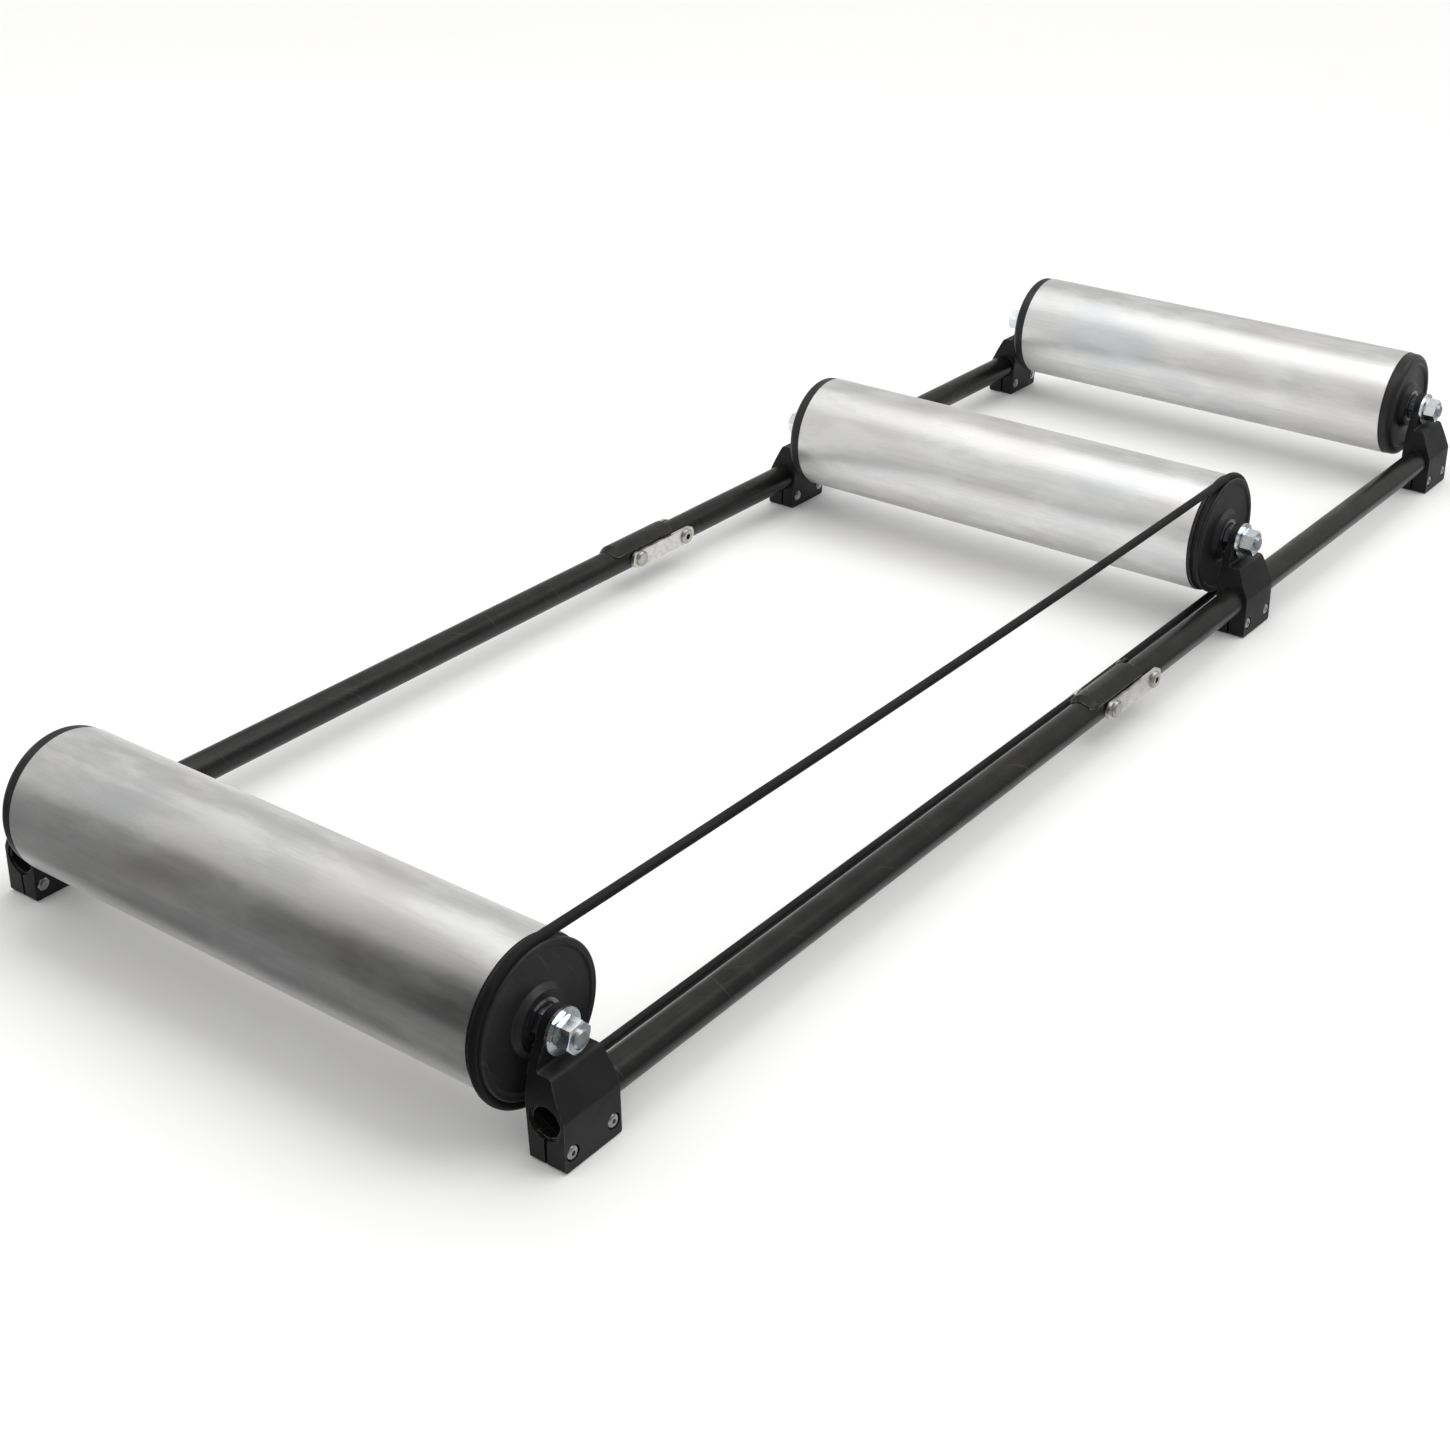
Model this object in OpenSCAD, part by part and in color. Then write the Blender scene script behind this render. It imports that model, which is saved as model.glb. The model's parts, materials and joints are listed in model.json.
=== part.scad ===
// Bike rollers: three aluminium drums on a black tube frame that folds at a
// double-pivot link hinge. A round belt drives the front drum from the middle one.
// X runs along the rails towards the rear drum, Z is up and the feet stand on Z = 0.

/* [Layout] */
// Front axle to middle axle
front_span = 835; // [760:5:900]
// Middle axle to rear axle
rear_span = 391; // [340:1:420]
// Axle height above the floor
axle_h = 72; // [70:1:80]

/* [Drums] */
// Outer diameter of a drum
drum_d = 95; // [90:1:100]
// Wall of the drum tube
drum_wall = 2.5; // [2:0.5:4]
// Length of the aluminium tube
drum_len = 374; // [340:1:420]

/* [End caps] */
// Width of a cap outside the tube
cap_w = 11; // [10:0.5:14]
// How far the cap's rim lies inside the drum surface
cap_step = 0.6; // [0.2:0.1:1.5]
// Radius on the outer edge of a plain cap
cap_edge_r = 5; // [3:0.5:7]
// Radius on the outer edge of a pulley cap
pulley_edge_r = 1.5; // [0.5:0.5:2]
// Length of the spigot inside the tube
spigot_len = 18; // [12:1:24]
// Wall of the spigot
spigot_wall = 3; // [2:0.5:4]
// Thickness of the cap's web
web_t = 4; // [3:0.5:5]
// Depth of the dished ring between rim and hub
dish_depth = 1.5; // [0.5:0.5:2.5]
// Radius of the hub round the bearing
hub_r = 18.5; // [17:0.5:21]
// How far the hub stands out of the cap
hub_proud = 2; // [1:0.5:4]
// Ribs behind the web
rib_count = 8; // [4:1:12]
// Thickness of a rib
rib_t = 2.4; // [1.6:0.2:4]

/* [Bearings] */
// Bore of a bearing, and the axle's diameter
axle_d = 12; // [10:1:12]
// Outer diameter of a bearing
bearing_d = 28; // [28:1:30]
// Width of a bearing
bearing_w = 8; // [7:0.5:9]
// Thickness of a bearing ring
ring_t = 2.2; // [1.8:0.1:2.4]
// Balls in a bearing
ball_count = 8; // [6:1:8]
// Thickness of a bearing seal
seal_t = 0.8; // [0.5:0.1:1.2]
// How deep a seal lies in the bearing's face
seal_recess = 0.4; // [0.3:0.1:0.6]

/* [Belt] */
// Diameter of the belt
belt_d = 6.4; // [5:0.2:6.6]
// How far the belt's centre lies outside the pulley's rim
belt_rise = 0.6; // [0.2:0.1:1.2]
// Sag of the upper run
upper_sag = 3.5; // [1:0.5:8]
// How far the slack belt hangs below its line round a pulley
belt_slack = 4.8; // [1:0.2:7]
// How far the joiner pulls the lower run down
joiner_drop = 1.9; // [0.5:0.1:4]
// Centre of the belt groove from the end of the tube
belt_offset = 5.8; // [5:0.1:6.4]
// Belt joiner, length
joiner_len = 9; // [6:1:16]
// Belt joiner, wall
joiner_wall = 0.8; // [0.5:0.1:1.5]
// Middle of the belt joiner behind the front axle
joiner_x = 607; // [300:1:700]

/* [Rails] */
// Rail tube diameter
rail_d = 22; // [20:1:23]
// Rail tube wall
rail_wall = 1.5; // [1:0.25:2.5]
// Height of the rail's centre
rail_h = 28; // [26:1:30]
// How far a rail's end stays inside its bracket
rail_recess = 1.5; // [0.5:0.5:5]

/* [Brackets] */
// Length of a bracket along the rail
bracket_len = 47; // [44:1:56]
// Bracket's inner face to the rail's centre
rail_inset = 13.25; // [12.75:0.25:15]
// Rail's centre to the bracket's outer face at the top of the wall
rail_outset = 13.25; // [12.75:0.25:15]
// How far the foot spreads outwards
foot_out = 1; // [0:0.5:3]
// How far the foot is drawn in on the drum side
foot_in = 2; // [0:0.5:3]
// Height of the outer wall
wall_h = 33; // [31:1:36]
// Height of the shoulder
shoulder_h = 56; // [52:1:57]
// Width of the shoulder's flat top
shoulder_w = 10; // [8:0.5:12]
// Height where the end faces start to curve in
side_h = 37; // [34:1:42]
// Thickness of the ear that holds the axle
ear_t = 6; // [5:0.5:8]
// Radius of the ear's round top
ear_r = 13.5; // [12:0.5:15]
// Pinch slit under the rail
slit_w = 2; // [1.5:0.5:3]

/* [Axle fastenings] */
// Across flats of the axle nuts
axle_nut_af = 18; // [17:1:19]
// Height of the outer axle nut
axle_nut_h = 10.8; // [8:0.2:12]
// Height of the inner lock nut
lock_nut_h = 6; // [5:0.5:8]
// Diameter of the washer
washer_d = 28; // [24:1:30]
// Thickness of the washer
washer_t = 2; // [1.5:0.5:3]
// Axle end that stands out of its nut
axle_proud = 2.2; // [1:0.2:6]

/* [Clamp screws] */
// Diameter of a clamp screw
clamp_d = 5; // [4:0.5:5]
// Distance between the two screws of a bracket
clamp_pitch = 34; // [32:1:35]
// Height of a clamp screw
clamp_h = 11; // [10.5:0.25:11.5]
// Diameter of the screw head
head_d = 9.5; // [8:0.5:10]
// Height of the screw head
head_h = 2.8; // [2:0.2:3.2]
// Depth of the seat under the head
head_seat = 3; // [2:0.5:4]
// Across flats of the screw's nut
clamp_nut_af = 8; // [7:0.5:8.5]
// Height of the screw's nut
clamp_nut_h = 4; // [3:0.5:5]
// Depth of the nut's pocket
nut_seat = 2.6; // [1.5:0.1:3.5]

/* [Fold hinge] */
// Rear hinge pin ahead of the middle axle
hinge_ahead = 185; // [120:5:260]
// Distance between the two hinge pins
link_pitch = 60; // [60:1:70]
// Gap between the ends of the rail tubes
tube_gap = 8; // [8:1:16]
// Height of a link plate
link_w = 14; // [12:1:15]
// Thickness of a link plate
link_t = 3; // [2:0.5:4]
// Link plate beyond its pins
link_end = 10.5; // [9:0.5:12]
// Diameter of a hinge pin
pin_d = 8; // [6:0.5:8]
// Diameter of a pin head
pin_head_d = 13; // [12:0.5:14]
// Height of a pin head
pin_head_h = 2.4; // [1.5:0.1:3]
// Bore of the tubular rear pins
pin_bore = 5; // [3:0.5:5]
// Thickness of the saddle over the joint
saddle_t = 3.4; // [3:0.2:5]
// Saddle ahead of the front pin, with its ramp
saddle_front = 28; // [24:1:50]
// Length of the ramp
saddle_ramp = 7; // [5:1:20]
// Thickness of the ramp's front edge
ramp_edge = 0.6; // [0.4:0.1:1]
// Saddle behind the front pin
saddle_rear = 45; // [40:1:48]
// Height of the saddle's lower edge above the rail's centre
saddle_cut = 8.2; // [8:0.1:9]

/* [Hidden] */
$fn = 64;
// Clearances: running fits, fixed fits, and free space between moving pieces
run_fit = 0.05;
set_fit = 0.02;
free_gap = 0.3;
// How much slimmer the belt's radius is on its runs than on its wraps
run_slim = 0.04;
// Length that a cut runs past the solid it cuts
over = 1;

RIGHT = -1;
LEFT = 1;

// Distances along the half width, from the middle plane outwards
tube_end = drum_len / 2;
cap_face = tube_end + cap_w;
bearing_face = cap_face + hub_proud;
ear_in = bearing_face + lock_nut_h;
ear_out = ear_in + ear_t;
washer_out = ear_out + washer_t;
nut_out = washer_out + axle_nut_h;
axle_end = nut_out + axle_proud;
rail_y = ear_in + rail_inset;
wall_y = rail_y + rail_outset;
foot_y = wall_y + foot_out;

// Radii of the drums and caps
drum_r = drum_d / 2;
drum_bore_r = drum_r - drum_wall;
cap_r = drum_r - cap_step;
spigot_r = drum_bore_r - set_fit;
bearing_r = bearing_d / 2;
hub_lip = 2;
hub_lip_r = bearing_r - ring_t;
belt_line_r = cap_r + belt_rise;
belt_reach = belt_line_r + belt_d / 2;
slack_r = belt_line_r + belt_slack;
slack_x = [belt_slack, front_span - belt_slack];
joiner_at = [joiner_x, -slack_r - joiner_drop];
joiner_lean = (atan2(joiner_drop, slack_x[1] - joiner_x) - atan2(joiner_drop, joiner_x - slack_x[0])) / 2;

// Places along the rails
front_reach = max(belt_reach, drum_r);
front_x = -(front_span + rear_span) / 2 + (front_reach - drum_r) / 2;
middle_x = front_x + front_span;
rear_x = middle_x + rear_span;
pin_rear_x = middle_x - hinge_ahead;
pin_front_x = pin_rear_x - link_pitch;
joint_x = (pin_front_x + pin_rear_x) / 2;
rail_front_end = front_x - bracket_len / 2 + rail_recess;
rail_rear_end = rear_x + bracket_len / 2 - rail_recess;

// Rail and link hinge
rail_r = rail_d / 2;
link_in = rail_r + free_gap;
link_out = link_in + link_t;
pin_r = pin_d / 2;
saddle_r = rail_r + saddle_t;

// Bearing races
ball_line_r = (axle_d / 2 + bearing_r) / 2;
race_gap = bearing_r - axle_d / 2 - 2 * ring_t;
ball_d = race_gap + 0.7;

// Points on an arc round a centre, from one angle to another
function arc(centre, r, from, to, steps) = [
    for (i = [0 : steps])
        let (a = from + (to - from) * i / steps)
        centre + r * [cos(a), sin(a)]
];

function unit(v) = v / norm(v);

// One corner of an outline, rounded by an arc that touches both of its edges
function round_corner(before, corner, after, r, steps) =
    r == 0 ? [corner] :
    let (
        a = unit(before - corner),
        b = unit(after - corner),
        half = acos(a * b) / 2,
        centre = corner + unit(a + b) * r / sin(half),
        start = corner + a * r / tan(half) - centre,
        finish = corner + b * r / tan(half) - centre,
        from = atan2(start[1], start[0]),
        sweep = (atan2(finish[1], finish[0]) - from + 540) % 360 - 180
    )
    arc(centre, r, from, from + sweep, steps);

// An outline with a radius of its own at each corner
function rounded(points, radii, steps = 6) =
    let (n = len(points))
    [
        for (i = [0 : n - 1])
            each round_corner(points[(i + n - 1) % n], points[i], points[(i + 1) % n], radii[i], steps)
    ];

// Lays a child that is drawn along +Z along an axle, outwards to the left or right
module on_axle(x, side) {
    translate([x, 0, axle_h])
        rotate([-90 * side, 0, 0])
            children();
}

module on_both_sides(x) {
    for (side = [LEFT, RIGHT])
        on_axle(x, side)
            children();
}

// Draws a left-hand child on the side that is asked for
module on_side(side) {
    flip = side == LEFT ? 0 : 1;
    mirror([0, flip, 0])
        children();
}

// Hexagonal nut with both faces chamfered, standing on Z = 0
module hex_nut(flats, height, bore) {
    corner_r = flats / 2 / cos(30);
    chamfer = (corner_r - flats / 2) * 0.6;
    difference() {
        intersection() {
            cylinder(r = corner_r, h = height, $fn = 6);
            rotate_extrude()
                polygon([
                    [0, 0], [corner_r - 2 * chamfer, 0], [corner_r, chamfer],
                    [corner_r, height - chamfer], [corner_r - 2 * chamfer, height], [0, height]
                ]);
        }
        translate([0, 0, -over])
            cylinder(d = bore + 2 * set_fit, h = height + 2 * over);
    }
}

module drum_tube(x) {
    translate([x, 0, axle_h])
        rotate([90, 0, 0])
            difference() {
                cylinder(r = drum_r, h = drum_len, center = true);
                cylinder(r = drum_bore_r, h = drum_len + 2 * over, center = true);
            }
}

// Half section of a cap: spigot, rim, dished web and the hub that holds the bearing
module cap_section(edge_r) {
    web_back = cap_face - dish_depth - web_t;
    web_front = cap_face - dish_depth;
    rim_in = cap_r - edge_r - 2.5;
    hub_back = bearing_face - bearing_w - hub_lip;
    polygon(rounded(
        [
            [hub_lip_r, hub_back], [hub_r, hub_back], [hub_r, web_back],
            [spigot_r - spigot_wall, web_back], [spigot_r - spigot_wall, tube_end - spigot_len],
            [spigot_r, tube_end - spigot_len], [spigot_r, tube_end], [cap_r, tube_end],
            [cap_r, cap_face], [rim_in, cap_face], [rim_in - dish_depth, web_front],
            [hub_r + dish_depth + hub_proud, web_front], [hub_r, bearing_face],
            [bearing_r + set_fit, bearing_face], [bearing_r + set_fit, bearing_face - bearing_w],
            [hub_lip_r, bearing_face - bearing_w]
        ],
        [0, 0, 0, 1.5, 0, 1, 0, 0.5, edge_r, 0, 1, 1.5, 0.8, 0, 0, 0]
    ));
}

// Ribs that stiffen the web on the inside of a cap
module cap_ribs() {
    web_back = cap_face - dish_depth - web_t;
    rib_from = hub_r - over;
    rib_to = spigot_r - spigot_wall + over;
    rib_low = tube_end - spigot_len / 3;
    for (i = [0 : rib_count - 1])
        rotate([90, 0, 360 * i / rib_count])
            translate([0, 0, -rib_t / 2])
                linear_extrude(rib_t)
                    polygon([
                        [rib_from, bearing_face - bearing_w - hub_lip], [rib_from, web_back + over],
                        [rib_to, web_back + over], [rib_to, rib_low]
                    ]);
}

module plain_cap() {
    rotate_extrude($fn = 96)
        cap_section(cap_edge_r);
    cap_ribs();
}

module pulley_cap() {
    rotate_extrude($fn = 96)
        difference() {
            cap_section(pulley_edge_r);
            translate([belt_line_r, tube_end + belt_offset])
                circle(r = belt_d / 2 + run_fit);
        }
    cap_ribs();
}

// Section of a bearing ring, with the ball race cut into one face
module ring_section(inner_r) {
    difference() {
        translate([inner_r, 0])
            square([ring_t, bearing_w]);
        translate([ball_line_r, bearing_w / 2])
            circle(d = ball_d + 2 * run_fit);
    }
}

module outer_rings(x) {
    on_both_sides(x)
        translate([0, 0, bearing_face - bearing_w])
            rotate_extrude()
                ring_section(bearing_r - ring_t);
}

module inner_rings(x) {
    on_both_sides(x)
        translate([0, 0, bearing_face - bearing_w])
            rotate_extrude()
                ring_section(axle_d / 2 + set_fit);
}

module bearing_balls(x) {
    on_both_sides(x)
        for (i = [0 : ball_count - 1])
            rotate([0, 0, 360 * i / ball_count])
                translate([ball_line_r, 0, bearing_face - bearing_w / 2])
                    sphere(d = ball_d, $fn = 24);
}

module bearing_seals(x) {
    on_both_sides(x)
        for (z = [bearing_face - seal_recess - seal_t, bearing_face - bearing_w + seal_recess])
            translate([0, 0, z])
                difference() {
                    cylinder(r = bearing_r - ring_t - set_fit, h = seal_t);
                    translate([0, 0, -over])
                        cylinder(r = axle_d / 2 + ring_t + free_gap, h = seal_t + 2 * over);
                }
}

// Threaded rod from bracket to bracket, with chamfered ends
module axle(x) {
    chamfer = 1;
    r = axle_d / 2;
    translate([x, 0, axle_h])
        rotate([-90, 0, 0])
            rotate_extrude()
                polygon([
                    [0, -axle_end], [r - chamfer, -axle_end], [r, chamfer - axle_end],
                    [r, axle_end - chamfer], [r - chamfer, axle_end], [0, axle_end]
                ]);
}

module lock_nuts(x) {
    on_both_sides(x)
        translate([0, 0, bearing_face])
            hex_nut(axle_nut_af, lock_nut_h, axle_d);
}

module axle_washers(x) {
    on_both_sides(x)
        translate([0, 0, ear_out])
            difference() {
                cylinder(d = washer_d, h = washer_t);
                translate([0, 0, -over])
                    cylinder(r = axle_d / 2 + 0.5, h = washer_t + 2 * over);
            }
}

module axle_nuts(x) {
    on_both_sides(x)
        translate([0, 0, washer_out])
            rotate([0, 0, 12])
                hex_nut(axle_nut_af, axle_nut_h, axle_d);
}

// Outline of a bracket seen along the axle: straight ends, curved flanks, round top
module bracket_side() {
    half = bracket_len / 2;
    drop = half - ear_r;
    rise = axle_h - side_h;
    flank_r = (drop * drop + rise * rise) / (2 * drop);
    flank_a = asin(rise / flank_r);
    flank = arc([half - flank_r, side_h], flank_r, 0, flank_a, 8);
    top = arc([0, axle_h], ear_r, 0, 180, 16);
    mirrored = [for (i = [len(flank) - 1 : -1 : 0]) [-flank[i][0], flank[i][1]]];
    polygon(concat(
        [[half - 1.5, 0], [half, 1.5]],
        [for (i = [0 : len(flank) - 2]) flank[i]],
        top,
        [for (i = [1 : len(mirrored) - 1]) mirrored[i]],
        [[-half, 1.5], [1.5 - half, 0]]
    ));
}

// Outline of a bracket seen along the rail: foot, wall, sloped shoulder and ear
module bracket_end() {
    top = axle_h + ear_r + over;
    polygon(rounded(
        [
            [ear_in + foot_in, 0], [foot_y, 0], [wall_y, wall_h],
            [ear_out + shoulder_w, shoulder_h], [ear_out, shoulder_h], [ear_out, top],
            [ear_in, top], [ear_in, wall_h]
        ],
        [1, 1, 6, 3, 2, 0, 0, 6]
    ));
}

// Places of the two clamp screws across a bracket, with the child drawn along +Y
module at_clamp_screws(x) {
    for (dx = [-clamp_pitch / 2, clamp_pitch / 2])
        translate([x + dx, 0, clamp_h])
            rotate([-90, 0, 0])
                children();
}

module bracket(x, side) {
    on_side(side)
        difference() {
            intersection() {
                translate([x, foot_y + over, 0])
                    rotate([90, 0, 0])
                        linear_extrude(foot_y - ear_in + 2 * over)
                            bracket_side();
                translate([x - bracket_len / 2 - over, 0, 0])
                    rotate([90, 0, 90])
                        linear_extrude(bracket_len + 2 * over)
                            bracket_end();
            }
            // Rail bore and the pinch slit under it
            translate([x - bracket_len, rail_y, rail_h])
                rotate([0, 90, 0])
                    cylinder(r = rail_r + run_fit, h = 2 * bracket_len);
            translate([x - bracket_len, rail_y - slit_w / 2, -over])
                cube([2 * bracket_len, slit_w, rail_h]);
            // Axle hole
            translate([x, ear_in - over, axle_h])
                rotate([-90, 0, 0])
                    cylinder(d = axle_d + 2 * run_fit, h = ear_t + 2 * over);
            // Clamp screw holes with a round seat outside and a hexagonal pocket inside
            at_clamp_screws(x) {
                translate([0, 0, ear_in - over])
                    cylinder(d = clamp_d + 2 * run_fit, h = foot_y - ear_in + 2 * over);
                translate([0, 0, foot_y - head_seat])
                    cylinder(d = head_d + 1, h = head_seat + over);
                translate([0, 0, ear_in - over])
                    cylinder(d = clamp_nut_af / cos(30) + 0.4, h = foot_in + nut_seat + over, $fn = 6);
            }
        }
}

// Button-head screw through the bracket, with a hexagonal socket
module clamp_screw(x, side) {
    shank_from = ear_in + foot_in + nut_seat - clamp_nut_h - 1;
    seat = foot_y - head_seat;
    head_r = head_d / 2;
    on_side(side)
        at_clamp_screws(x)
            difference() {
                union() {
                    translate([0, 0, shank_from])
                        cylinder(d = clamp_d, h = seat - shank_from + over / 2);
                    translate([0, 0, seat])
                        rotate_extrude()
                            polygon(rounded(
                                [[0, 0], [head_r, 0], [head_r, head_h], [0, head_h]],
                                [0, 0.2, head_h * 0.8, 0]
                            ));
                }
                translate([0, 0, seat + head_h / 2])
                    cylinder(d = clamp_d * 0.7, h = head_h, $fn = 6);
            }
}

module clamp_nut(x, side) {
    on_side(side)
        at_clamp_screws(x)
            translate([0, 0, ear_in + foot_in + nut_seat - clamp_nut_h])
                hex_nut(clamp_nut_af, clamp_nut_h, clamp_d);
}

// Rail tube from one end to the other, with the cross hole of its hinge pin
module rail(from, to, pin_x, side) {
    on_side(side)
        difference() {
            translate([from, rail_y, rail_h])
                rotate([0, 90, 0])
                    cylinder(r = rail_r, h = to - from);
            translate([from - over, rail_y, rail_h])
                rotate([0, 90, 0])
                    cylinder(r = rail_r - rail_wall, h = to - from + 2 * over);
            translate([pin_x, rail_y - rail_d, rail_h])
                rotate([-90, 0, 0])
                    cylinder(r = pin_r + run_fit, h = 2 * rail_d);
        }
}

// Ramped half shell on the front tube, which reaches over the rear tube's end. Its sides
// are flush with the tube, so that the link plates pass them.
module hinge_saddle(side) {
    from = pin_front_x - saddle_front;
    to = pin_front_x + saddle_rear;
    ramp_end = from + saddle_ramp;
    on_side(side)
        translate([0, rail_y, rail_h])
            difference() {
                union() {
                    translate([from, 0, 0])
                        rotate([0, 90, 0])
                            cylinder(r1 = rail_r + ramp_edge, r2 = saddle_r, h = saddle_ramp);
                    translate([ramp_end, 0, 0])
                        rotate([0, 90, 0])
                            cylinder(r = saddle_r, h = to - ramp_end);
                }
                translate([from - over, 0, 0])
                    rotate([0, 90, 0])
                        cylinder(r = rail_r + set_fit, h = to - from + 2 * over);
                translate([joint_x - tube_gap / 2, 0, 0])
                    rotate([0, 90, 0])
                        cylinder(r = rail_r + free_gap, h = to);
                translate([from - over, -2 * rail_d, saddle_cut - 4 * rail_d])
                    cube([to - from + 2 * over, 4 * rail_d, 4 * rail_d]);
                for (flank = [-1, 1])
                    translate([from - over, flank * (rail_r + rail_d) - rail_d, 0])
                        cube([to - from + 2 * over, 2 * rail_d, 2 * rail_d]);
            }
}

// Link plate with round ends; place is -1 on the drum side of the rail, 1 outside
module link_plate(side, place) {
    half = link_w / 2;
    end_r = min(half, link_end) * 0.9;
    from = pin_front_x - link_end;
    to = pin_rear_x + link_end;
    edge = place > 0 ? link_out : -link_in;
    on_side(side)
        difference() {
            translate([0, rail_y + edge, rail_h])
                rotate([90, 0, 0])
                    linear_extrude(link_t)
                        polygon(rounded(
                            [[from, -half], [to, -half], [to, half], [from, half]],
                            [end_r, end_r, end_r, end_r]
                        ));
            for (x = [pin_front_x, pin_rear_x])
                translate([x, rail_y - rail_d, rail_h])
                    rotate([-90, 0, 0])
                        cylinder(r = pin_r + set_fit, h = 2 * rail_d);
        }
}

// Hinge pin through the rail and both plates, with a rounded head at each end
module hinge_pin(x, side, bore) {
    head_r = pin_head_d / 2;
    tip = link_out + pin_head_h;
    on_side(side)
        translate([x, rail_y, rail_h])
            rotate([-90, 0, 0])
                rotate_extrude()
                    polygon(rounded(
                        [
                            [bore / 2, -tip], [head_r, -tip], [head_r, -link_out],
                            [pin_r, -link_out], [pin_r, link_out], [head_r, link_out],
                            [head_r, tip], [bore / 2, tip]
                        ],
                        [0, pin_head_h * 0.7, 0, 0, 0, 0, pin_head_h * 0.7, 0]
                    ));
}

// Part of the belt, bent to a radius over an angle
module belt_bend(radius, angle, d, facets) {
    rotate_extrude(angle = angle, $fn = facets)
        translate([radius, 0])
            circle(d = d, $fn = 24);
}

// Straight piece of the belt, from a point in the belt's plane. It goes a little further at
// both ends, into the pieces that it joins.
module belt_piece(start, direction, length, d) {
    translate([start[0], start[1], 0])
        rotate([0, 0, direction])
            rotate([0, 90, 0])
                translate([0, 0, -over])
                    cylinder(d = d, h = length + 2 * over);
}

// The arc in which the upper run hangs between the pulleys: its radius and half its angle
function upper_arc() =
    let (half = front_span / 2, reach = (half * half + upper_sag * upper_sag) / (2 * upper_sag))
    [reach - belt_line_r, asin(half / reach)];

// Upper run. Its ends lie inside the wraps, and it is slimmer by a hair for that.
module upper_run(arc) {
    inside = over / arc[0] * 180 / PI;
    translate([front_x, axle_h, 0])
        rotate([0, 0, -arc[1]])
            translate([0, belt_line_r, 0])
                translate([0, arc[0], 0])
                    rotate([0, 0, -90 - inside])
                        belt_bend(arc[0], 2 * (arc[1] + inside), belt_d - 2 * run_slim, 2400);
}

// One leg of the lower run, from the joiner to the slack bend at a pulley; side is -1 for
// the front pulley and 1 for the middle one. Gives its start, direction and length.
function lower_leg(side) =
    let (
        start = joiner_at + side * (joiner_len / 2 + over) * [cos(joiner_lean), sin(joiner_lean)],
        reach = [slack_x[side < 0 ? 0 : 1], 0] - start,
        away = norm(reach)
    )
    [start, atan2(reach[1], reach[0]) - side * asin(slack_r / away), sqrt(away * away - slack_r * slack_r)];

// Lower run, from the front axle in the belt's plane: the belt leaves each pulley in a wider,
// slack bend, and a straight leg runs from there to the joiner.
module lower_run() {
    front_leg = lower_leg(-1);
    rear_leg = lower_leg(1);
    inside = over / slack_r * 180 / PI;
    for (bend = [
        [slack_x[0], 180 - inside, front_leg[1] - 90 + inside],
        [slack_x[1], rear_leg[1] - 90, 90 - rear_leg[1] + inside]
    ])
        translate([bend[0], 0, 0])
            rotate([0, 0, bend[1]])
                belt_bend(slack_r, bend[2], belt_d - 2 * run_slim, 72);
    for (leg = [front_leg, rear_leg])
        belt_piece(leg[0], leg[1], leg[2], belt_d - 4 * run_slim);
    belt_piece(
        joiner_at - joiner_len / 2 * [cos(joiner_lean), sin(joiner_lean)],
        joiner_lean, joiner_len, belt_d
    );
}

// Round belt: a wrap on the outer half of each pulley, the upper run and the slack lower run
module belt_loop() {
    arc = upper_arc();
    translate([0, -(tube_end + belt_offset), 0])
        rotate([90, 0, 0]) {
            upper_run(arc);
            for (wrap = [[front_x, 90 - arc[1]], [middle_x, 0]])
                translate([wrap[0], axle_h, 0])
                    rotate([0, 0, wrap[1]])
                        belt_bend(belt_line_r, 90 + arc[1], belt_d, 72);
            translate([front_x, axle_h, 0])
                lower_run();
        }
}

// Metal sleeve that joins the belt's ends on the lower run
module joiner_sleeve() {
    translate([front_x + joiner_at[0], -(tube_end + belt_offset), axle_h + joiner_at[1]])
        rotate([0, 90 - joiner_lean, 0])
            difference() {
                cylinder(d = belt_d + 2 * joiner_wall, h = joiner_len, center = true);
                cylinder(d = belt_d + 2 * set_fit, h = joiner_len + 2 * over, center = true);
            }
}

module front_drum_tube() {
    color("silver")
        drum_tube(front_x);
}

module front_cap_left() {
    color("dimgray")
        on_axle(front_x, LEFT)
            plain_cap();
}

module front_cap_right() {
    color("dimgray")
        on_axle(front_x, RIGHT)
            pulley_cap();
}

module front_bearing_outer_rings() {
    color("gainsboro")
        outer_rings(front_x);
}

module front_bearing_inner_rings() {
    color("gainsboro")
        inner_rings(front_x);
}

module front_bearing_balls() {
    color("white")
        bearing_balls(front_x);
}

module front_bearing_seals() {
    color("black")
        bearing_seals(front_x);
}

module front_axle() {
    color("silver")
        axle(front_x);
}

module front_lock_nuts() {
    color("lightsteelblue")
        lock_nuts(front_x);
}

module front_axle_washers() {
    color("lightsteelblue")
        axle_washers(front_x);
}

module front_axle_nuts() {
    color("lightsteelblue")
        axle_nuts(front_x);
}

module middle_drum_tube() {
    color("silver")
        drum_tube(middle_x);
}

module middle_cap_left() {
    color("dimgray")
        on_axle(middle_x, LEFT)
            plain_cap();
}

module middle_cap_right() {
    color("dimgray")
        on_axle(middle_x, RIGHT)
            pulley_cap();
}

module middle_bearing_outer_rings() {
    color("gainsboro")
        outer_rings(middle_x);
}

module middle_bearing_inner_rings() {
    color("gainsboro")
        inner_rings(middle_x);
}

module middle_bearing_balls() {
    color("white")
        bearing_balls(middle_x);
}

module middle_bearing_seals() {
    color("black")
        bearing_seals(middle_x);
}

module middle_axle() {
    color("silver")
        axle(middle_x);
}

module middle_lock_nuts() {
    color("lightsteelblue")
        lock_nuts(middle_x);
}

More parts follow.
